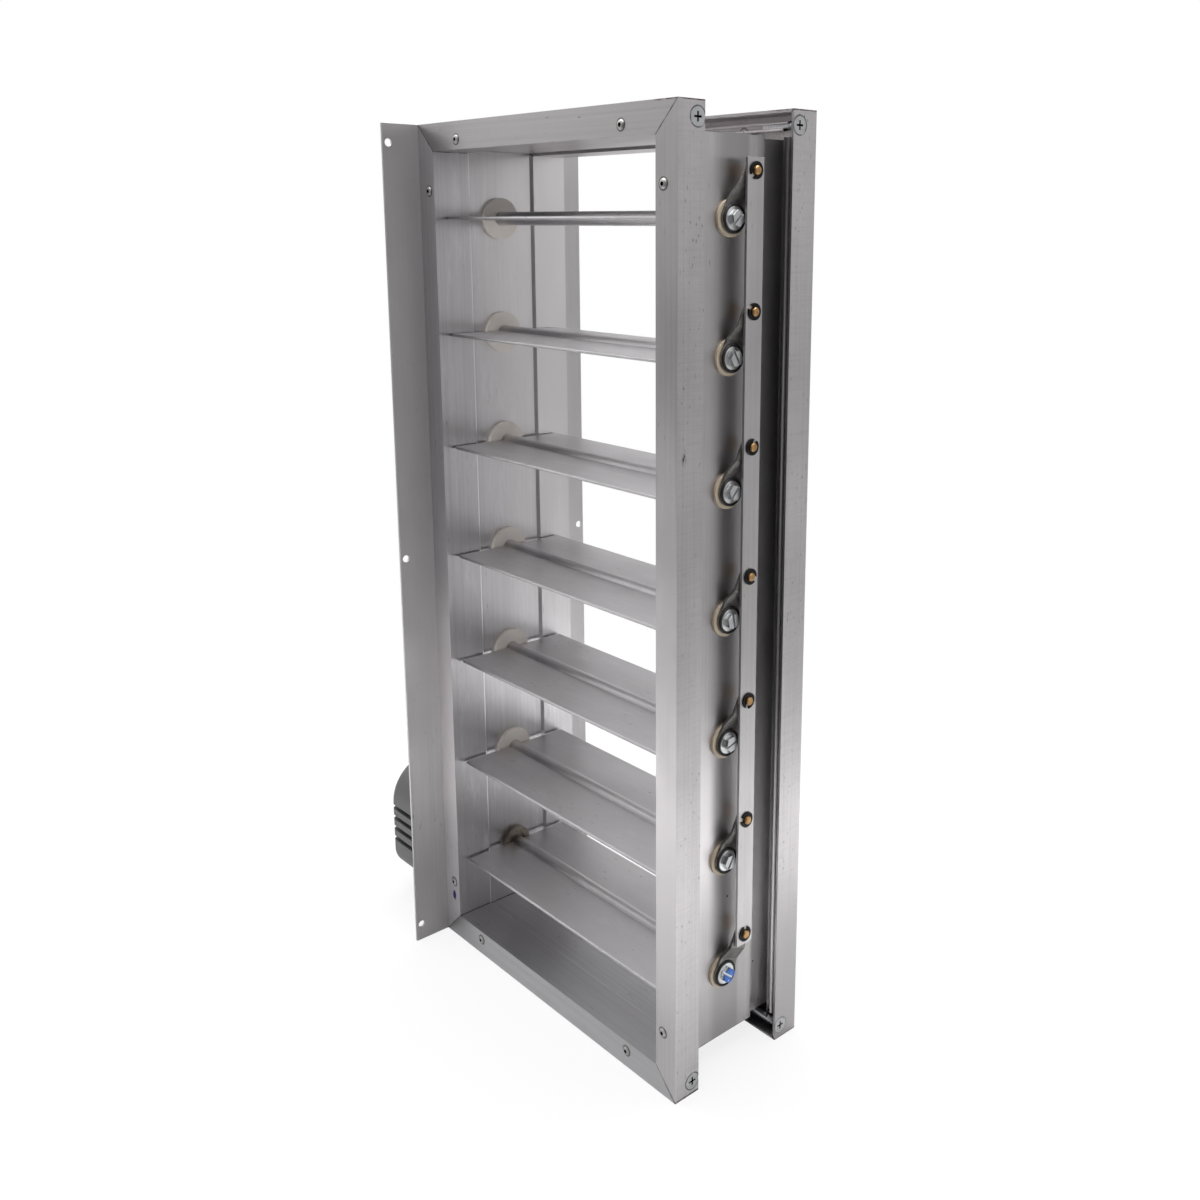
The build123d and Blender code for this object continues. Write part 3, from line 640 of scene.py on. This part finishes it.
def painted_zinc(name):
    """Zinc plate with a dab of blue paint over the top of the hex."""
    look = Look(name)
    cloud = look.noise((180, 180, 180), 4, 0.6)
    colour = look.colours(cloud, [(0.30, (0.66, 0.68, 0.70)), (0.62, (0.80, 0.82, 0.83))])
    patchy = look.patches((260, 260, 260), 3, (0.34, 0.0), (0.38, 1.0), 2, 0.5)
    top = look.step(look.split(look.place)[0], PAINT_START, PAINT_FULL)
    blue = look.both(top, patchy)
    colour = look.mix(blue, colour, BLUE_PAINT)
    # Painted shade in recesses
    colour = look.mix(look.ramp(look.crevice(0.7 * MM), [(0.2, 0.6), (0.75, 0.0)]), colour, RECESS_SHADE)
    roughness = look.math("ADD", look.math("MULTIPLY", cloud, 0.3), 0.12)
    metallic = look.math("SUBTRACT", 1.0, blue)
    return look.finish(base_color=colour, metallic=metallic, roughness=roughness)


def lathe(profile, place, segments=TURN_SIDES, arc=None):
    """Points and faces of a closed profile turned about an axis along X, through a place, all round or over
    an arc."""
    start, end = arc or (0.0, 2 * math.pi)
    turns = segments if arc is None else segments + 1
    points, faces = [], []
    for k in range(turns):
        angle = start + (end - start) * k / segments
        for along, radius in profile:
            turned = Vector((along, radius * math.cos(angle), radius * math.sin(angle)))
            points.append(tuple(Vector(place) + turned * MM))
    count = len(profile)
    for k in range(segments):
        for j in range(count):
            a, b = k * count, ((k + 1) % turns) * count
            faces.append((a + j, a + (j + 1) % count, b + (j + 1) % count, b + j))
    return points, faces


def add_piece(name, parts, material, body):
    """One piece from several (points, faces) parts, riding on a body."""
    points, faces = [], []
    for more_points, more_faces in parts:
        base = len(points)
        points += more_points
        faces += [tuple(v + base for v in face) for face in more_faces]
    mesh = bpy.data.meshes.new(name)
    mesh.from_pydata(points, [], faces)
    mesh.validate()
    shell = bmesh.new()
    shell.from_mesh(mesh)
    bmesh.ops.remove_doubles(shell, verts=shell.verts, dist=PIECE_WELD)
    bmesh.ops.recalc_face_normals(shell, faces=shell.faces)
    shell.to_mesh(mesh)
    shell.free()
    mesh.materials.append(material)
    piece = bpy.data.objects.new(name, mesh)
    bpy.context.scene.collection.objects.link(piece)
    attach(piece, body)
    return piece


def blade_body(i):
    return "drive_blade_set" if i == 1 else f"blade_set_{i}"


def crank_seat(i):
    """Where a blade's axis comes through the outer face of its crank."""
    return (CRANK_FACE, AXIS_Y, BLADE_PITCH * (i - MIDDLE_BLADE))


def sealing_rings(material):
    """Black rubber ring under each crank screw's washer."""
    for i in BLADES:
        ring = lathe(RING_PROFILE, crank_seat(i))
        add_piece(f"sealing_ring_{i}", [ring], material, blade_body(i))


def slotted_hex(base, place, turn):
    """Hex head with a screwdriver slot from corner to corner, standing on a face across X."""
    corner = HEX_FLATS / math.sqrt(3)
    half, slot = HEX_FLATS / 2, SLOT_WIDTH / 2
    side = corner - corner / 2 * slot / half
    # Points 0 and 5 are the corners that the slot runs through, and 1, 4, 6 and 9 are where its walls end
    outline = [(corner, 0), (side, slot), (corner / 2, half), (-corner / 2, half), (-side, slot)]
    outline += [(-u, -v) for u, v in outline]
    slot_picks = (0, 1, 4, 5, 6, 9)
    half_picks = ((1, 2, 3, 4), (6, 7, 8, 9))
    points, at = [], {}

    def level(name, x, picks):
        for k in picks:
            u, v = outline[k]
            at[name, k] = len(points)
            points.append((
                x,
                place[0] + u * math.cos(turn) - v * math.sin(turn),
                place[1] + u * math.sin(turn) + v * math.cos(turn),
            ))

    level("foot", base, range(len(outline)))
    level("floor", base + HEX_HEIGHT - SLOT_DEPTH, slot_picks)
    level("top", base + HEX_HEIGHT, half_picks[0] + half_picks[1])
    faces = [tuple(at["foot", k] for k in reversed(range(len(outline))))]
    faces.append(tuple(at["floor", k] for k in slot_picks))
    for a, b, c, d in half_picks:
        faces.append(tuple(at["top", k] for k in (a, b, c, d)))
        faces.append((at["foot", a], at["foot", b], at["top", b], at["top", a], at["floor", a]))
        faces.append((at["foot", b], at["foot", c], at["top", c], at["top", b]))
        faces.append((at["foot", c], at["foot", d], at["floor", d], at["top", d], at["top", c]))
        faces.append((at["floor", a], at["top", a], at["top", d], at["floor", d]))
    for a, b in ((9, 0), (0, 1), (4, 5), (5, 6)):
        faces.append((at["foot", a], at["foot", b], at["floor", b], at["floor", a]))
    return points, faces


def add_bevel(piece, width):
    bevel = piece.modifiers.new("bevel", "BEVEL")
    bevel.width = width
    bevel.segments = EDGE_SEGMENTS
    bevel.limit_method = "ANGLE"
    return bevel


def screw_heads(material, first_material):
    """Crank screws with a smaller hex than the solids they stand for: shank, washer face and slotted hex."""
    for i in BLADES:
        seat = crank_seat(i)
        slot_turn = math.radians(SLOT_TURNS[i - 1])
        parts = [lathe(SCREW_PROFILE, seat), slotted_hex(WASHER_FACE, seat[1:], slot_turn)]
        look = first_material if i == 1 else material
        head = add_piece(f"slotted_screw_{i}", parts, look, blade_body(i))
        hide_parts(f"crank_screw_{i}")
        add_bevel(head, HEX_EDGE)


def screw_threads(material):
    """Thread crests of the frame screws: full turns in the open, and what shows in the boss's slot."""
    parts = []
    for right in (False, True):
        for y in (-SCREW_Y, SCREW_Y):
            middle = math.pi if y > 0 else 0.0
            slot_arc = (middle - BOSS_ARC, middle + BOSS_ARC)
            for z in (-SCREW_Z, SCREW_Z):
                for k in range(CRESTS):
                    depth = CREST_START + CREST_PITCH * k
                    place = (FRAME_WIDTH - depth if right else depth, y, z)
                    if depth < BOSS_DEPTH:
                        parts.append(lathe(CREST_PROFILE, place, CREST_SIDES))
                    else:
                        parts.append(lathe(CREST_PROFILE, place, ARC_SIDES, slot_arc))
    add_piece("frame_screw_threads", parts, material, "frame")


def floor_and_backdrop():
    """Pale floor that keeps the shadow and is nearly white to the camera. To reflections it is dark in front
    of the paper's edge, darkened by painted shadow close to the object and to its right, and brightened by a
    painted glow far off to the right."""
    half = FLOOR_SIZE / 2
    low = cad_box[0].z - FLOOR_GAP
    mesh = bpy.data.meshes.new("floor")
    corners = [(-half, -half, low), (half, -half, low), (half, half, low), (-half, half, low)]
    mesh.from_pydata(corners, [], [(0, 1, 2, 3)])
    floor = bpy.data.objects.new("floor", mesh)
    bpy.context.scene.collection.objects.link(floor)

    look = Look("floor")
    path = look.add("ShaderNodeLightPath")
    reflected = path.outputs["Is Glossy Ray"]
    front = look.step(look.along(look.place, TOWARD_CAMERA), *FLOOR_FRONT)
    reach = look.spot(FLOOR_FOOT, (1.0, 1.0, 0.0))
    right = look.step(look.split(look.place)[0], *FLOOR_RIGHT)
    # Painted shadow, for reflections, on the floor near the object and beside it to the right
    near = look.ramp(look.step(reach, *FLOOR_NEAR), [(0.0, FLOOR_NEAR_SHADE), (1.0, 1.0)])
    beside = look.both(right, look.step(reach, *FLOOR_BESIDE))
    beside = look.ramp(beside, [(0.0, 1.0), (1.0, FLOOR_BESIDE_SHADE)])
    shaded = look.mix(reflected, grey(1.0), look.both(near, beside))
    tone = look.mix(1.0, shaded, grey(FLOOR_TONE), "MULTIPLY")
    tone = look.mix(look.both(front, reflected), tone, grey(FLOOR_FRONT_TONE))
    # Painted glow, for reflections, on the floor far off to the right
    lift = look.both(right, look.step(reach, *FLOOR_FAR), reflected, FLOOR_GLOW)
    look.finish(base_color=tone, roughness=0.9, emission_color=(1.0, 1.0, 1.0, 1.0), emission_strength=lift)

    spread = look.step(look.spot((0.0, 0.0, 0.0), (1.0, 1.0, 1.0)), FLOOR_WHITE_FROM / 3, FLOOR_WHITE_FROM)
    white = look.both(path.outputs["Is Camera Ray"], look.within(spread, FLOOR_WHITENESS, 1.0))
    glow = look.add("ShaderNodeEmission")
    glow.inputs["Color"].default_value = (1, 1, 1, 1)
    blend = look.add("ShaderNodeMixShader")
    look.feed(blend.inputs["Fac"], white)
    look.feed(blend.inputs[1], look.shader.outputs["BSDF"])
    look.feed(blend.inputs[2], glow.outputs["Emission"])
    look.feed(look.output.inputs["Surface"], blend.outputs["Shader"])
    mesh.materials.append(look.material)


def world_light():
    """White to the camera; to reflections a grey room, white low at the rear and dark behind the camera."""
    world = bpy.data.worlds.new("studio")
    bpy.context.scene.world = world
    world.use_nodes = True
    world.node_tree.nodes.clear()
    sky = Nodes(world.node_tree)
    direction = sky.add("ShaderNodeTexCoord").outputs["Generated"]
    toward = sky.along(direction, TOWARD_CAMERA)
    low = sky.step(sky.split(direction)[2], *ROOM_LOW)
    room = sky.mix(sky.both(sky.step(toward, *ROOM_REAR), low), grey(ROOM_GREY), grey(1.0))
    room = sky.mix(sky.step(toward, *ROOM_DARK_SIDE), room, grey(ROOM_DARK))
    path = sky.add("ShaderNodeLightPath")
    mirrored = sky.math("MAXIMUM", path.outputs["Is Glossy Ray"], path.outputs["Is Transmission Ray"])
    colour = sky.mix(mirrored, grey(AMBIENT), room)
    colour = sky.mix(path.outputs["Is Camera Ray"], colour, grey(1.0))
    background = sky.add("ShaderNodeBackground")
    sky.feed(background.inputs["Color"], colour)
    output = sky.add("ShaderNodeOutputWorld")
    sky.feed(output.inputs["Surface"], background.outputs[0])


def softboxes():
    """Area lights above, to the left and behind."""
    for name, place, aim, width, height, watts in SOFTBOXES:
        data = bpy.data.lights.new(name, "AREA")
        data.shape = "RECTANGLE"
        data.size, data.size_y = width, height
        data.energy = watts
        lamp = bpy.data.objects.new(name, data)
        lamp.location = place
        lamp.rotation_mode = "QUATERNION"
        lamp.rotation_quaternion = (Vector(aim) - Vector(place)).to_track_quat("-Z", "Y")
        bpy.context.scene.collection.objects.link(lamp)


def dress(node, material):
    """Give a CAD node one material."""
    mesh = nodes[node].data
    mesh.materials.clear()
    mesh.materials.append(material)


def soften(node, radius):
    """Round a solid's sharp edges a little, so that they catch the light, and keep its flat faces flat."""
    solid = nodes[node]
    weld = solid.modifiers.new("weld", "WELD")
    weld.merge_threshold = SOLID_WELD
    flat = solid.modifiers.new("flat", "DECIMATE")
    flat.decimate_type = "DISSOLVE"
    flat.angle_limit = FLAT_ANGLE
    add_bevel(solid, radius).angle_limit = EDGE_ANGLE
    flush = solid.modifiers.new("normals", "WEIGHTED_NORMAL")
    flush.mode = "FACE_AREA"
    flush.weight = 100


make_camera()
world_light()
softboxes()
floor_and_backdrop()
bpy.context.scene.view_settings.view_transform = "Standard"

members = {
    "frame_left": mill_aluminium(
        "mill_aluminium_left", "z", LEFT_TONE, front=0.88, front_rough=0.20, member=left_marks
    ),
    "frame_right": mill_aluminium("mill_aluminium_right", "z", seed=2, front=0.87, member=right_marks),
    "frame_top": mill_aluminium("mill_aluminium_top", "x", seed=5, front=0.62, member=frame_marks),
    "frame_bottom": mill_aluminium(
        "mill_aluminium_bottom", "x", BOTTOM_TONE, seed=6, front=0.84, member=frame_marks
    ),
    "mounting_plate": mill_aluminium("plate_aluminium", "z", PLATE_TONE, 0.60, 9, member=plate_marks),
    "linkage_bar": mill_aluminium("bar_aluminium", "z", BAR_TONE, 0.40, 13, lines=0.04),
}
blade_look = mill_aluminium(
    "blade_aluminium", "x", BLADE_TONE, 0.40, 17, front=0.75, lines=0.014, member=blade_marks
)
zinc = plated("zinc_steel", (0.86, 0.88, 0.89), (0.70, 0.72, 0.74), 0.27, 180, 0.6, 0.7)
hex_look = plated("hex_zinc", (0.86, 0.88, 0.89), (0.66, 0.68, 0.70), 0.27, 180, 0.6, 0.35, rim=True)
flush_zinc = plated("flush_zinc", (0.62, 0.635, 0.64), (0.48, 0.49, 0.50), 0.34, 260, 0.6, 0.5, screw_recess_shade)
paint = painted_zinc("painted_zinc")
crank = plated("dark_steel", (0.33, 0.32, 0.31), (0.17, 0.165, 0.16), 0.42, 300)
black = plated("black_steel", (0.035, 0.035, 0.035), (0.015, 0.015, 0.015), 0.4)
rubber = moulded("rubber", (0.012, 0.012, 0.012), (0.02, 0.02, 0.02), 0.55, 2600)
brass = plated("brass", (0.66, 0.41, 0.19), (0.40, 0.22, 0.09), 0.38, 420)
bronze = plated("bronze", (0.34, 0.30, 0.26), (0.22, 0.19, 0.16), 0.4)
steel = plated("shaft_steel", (0.50, 0.49, 0.48), (0.34, 0.33, 0.32), 0.3)
rivet_look = plated("rivet_aluminium", (0.56, 0.545, 0.54), (0.42, 0.41, 0.40), 0.46, 260, blacken=rivet_hole_and_rim)
white_nylon = moulded("white_nylon", (0.78, 0.735, 0.69), (0.70, 0.655, 0.60), 0.42, 1200, 0.25)
# Darker, warmer copy of the white nylon: soiling, with painted shade and a painted warm reflection
tan_nylon = moulded("tan_nylon", (0.62, 0.53, 0.41), (0.50, 0.41, 0.30), 0.45, 1200, 0.1)
plastic = moulded("actuator_plastic", (0.092, 0.090, 0.093), (0.115, 0.113, 0.115), 0.48, 2200)
hardware = {
    "frame_screws": flush_zinc,
    "corner_brackets": steel,
    "flange_rivets": rivet_look,
    "plate_rivets": rivet_look,
    "bushings_left": white_nylon,
    "bushings_right": tan_nylon,
    "outer_washers": tan_nylon,
    "drive_bushing": bronze,
    "drive_shaft": steel,
    "output_hub": steel,
    "hub_set_screw": black,
    "gear_motor": steel,
    "actuator_base": plastic,
    "actuator_cover": plastic,
    "cover_screws": black,
    "base_screws": zinc,
}

for name, look in members.items():
    dress(name, look)
    soften(name, FRAME_EDGE)
for name, look in hardware.items():
    dress(name, look)
for i in BLADES:
    dress(f"blade_{i}", blade_look)
    dress(f"crank_arm_{i}", crank)
    dress(f"crank_screw_{i}", paint if i == 1 else hex_look)
    dress(f"pivot_pin_{i}", brass)
    dress(f"pin_clip_{i}", black)
    soften(f"blade_{i}", BLADE_EDGE)

sealing_rings(rubber)
screw_heads(hex_look, paint)
screw_threads(zinc)
